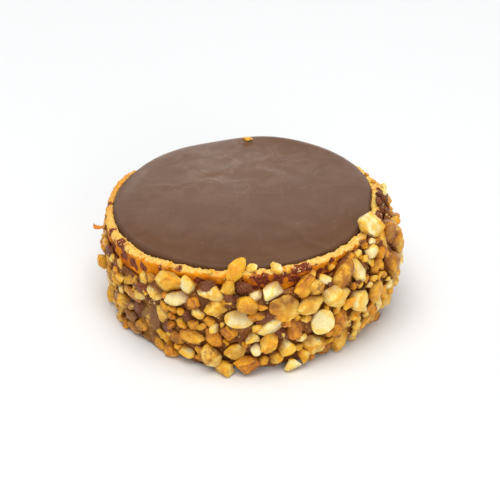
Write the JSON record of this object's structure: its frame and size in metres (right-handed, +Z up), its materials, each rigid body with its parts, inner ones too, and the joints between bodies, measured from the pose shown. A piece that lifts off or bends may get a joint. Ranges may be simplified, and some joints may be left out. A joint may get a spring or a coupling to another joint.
{
  "type": "peanut cookie",
  "caption": "Tall round biscuit with a raised golden rim, a smooth chocolate top set inside the rim, and a side coated in chocolate cream and chopped roasted nuts.",
  "frame": {"origin": "centre of the biscuit's flat underside, on the floor", "axes": "+Z up through the cookie, front (the side seen in the picture) towards -Y, +X to the right as seen from the front"},
  "size_m": [0.0819, 0.0837, 0.0339],
  "materials": {
    "biscuit": "baked golden crumb, matte",
    "chocolate": "set milk chocolate, soft sheen",
    "nuts": "chopped roasted peanuts in milk chocolate cream"
  },
  "bodies": {
    "root": {"biscuit": "biscuit", "chocolate_top": "chocolate", "nut_coating": "nuts"}
  },
  "joints": []
}
